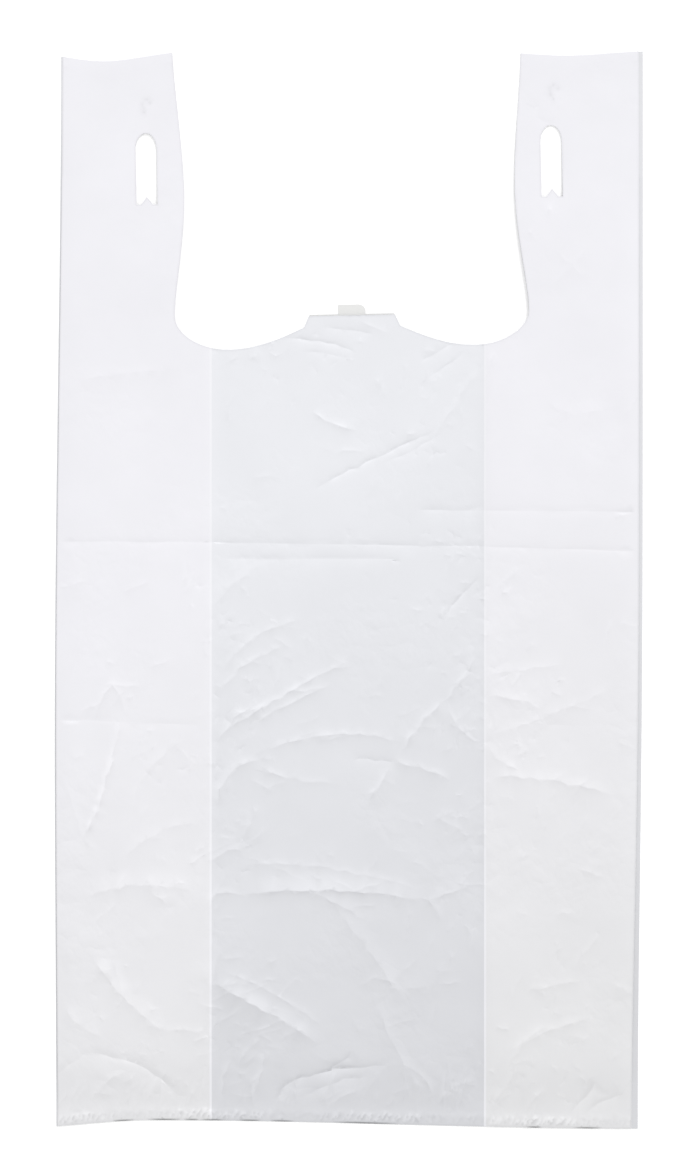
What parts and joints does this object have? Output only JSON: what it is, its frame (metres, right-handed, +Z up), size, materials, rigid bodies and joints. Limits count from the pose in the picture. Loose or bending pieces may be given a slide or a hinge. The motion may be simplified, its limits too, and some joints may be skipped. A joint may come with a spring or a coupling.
{
  "type": "plastic carrier bag",
  "caption": "White plastic vest carrier bag, lying flat, with side gussets, loop handles, rack slots and a torn centre tab.",
  "frame": {"origin": "centre of the underside of the bag, on the surface that it lies on", "axes": "+Y along the bag towards the handles, +X across it to the right as seen from the front, +Z up off the back panel"},
  "size_m": [0.3, 0.5495, 0.0035],
  "materials": {
    "white_film": "thin white high-density polythene film, soft gloss, finely creased, a little see-through"
  },
  "bodies": {
    "root": {"carrier_bag": "white_film"}
  },
  "joints": []
}
